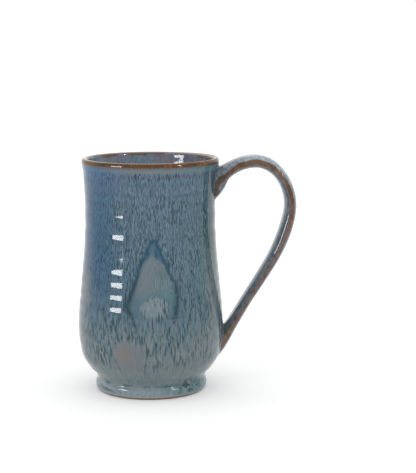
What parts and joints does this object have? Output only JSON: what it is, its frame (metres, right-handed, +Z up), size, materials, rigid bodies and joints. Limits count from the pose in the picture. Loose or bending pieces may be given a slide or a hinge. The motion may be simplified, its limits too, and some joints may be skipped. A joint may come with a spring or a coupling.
{
  "type": "ceramic mug",
  "caption": "Tall hand-thrown stoneware mug with a rounded belly, flared foot, pulled strap handle and a streaked blue-grey glaze that breaks brown at the lip.",
  "frame": {"origin": "on the surface that the mug stands on, under the middle of the whole object with its handle; the cup's own axis is at x = -0.02035 m", "axes": "+Z up, along the cup's axis; the handle points along +X in the XZ plane"},
  "size_m": [0.1219, 0.0812, 0.1315],
  "materials": {
    "stoneware": "fired brown stoneware, matt",
    "bare_foot": "bare fired clay, matt and slightly sandy",
    "outer_glaze": "glossy blue-grey glaze with fine vertical streaks",
    "rim_glaze": "thin glossy glaze that breaks brown on the edge",
    "liner_glaze": "glossy purple-grey glaze",
    "foot_glaze": "glossy lilac-grey glaze",
    "handle_glaze": "glossy grey glaze, brown along the edges"
  },
  "bodies": {
    "root": {"cup_body": "stoneware", "foot_ring": "bare_foot", "handle": "stoneware", "upper_joint": "stoneware", "lower_joint": "stoneware", "outer_glaze": "outer_glaze", "rim_glaze": "rim_glaze", "liner_glaze": "liner_glaze", "foot_glaze": "foot_glaze", "handle_glaze": "handle_glaze"}
  },
  "joints": []
}
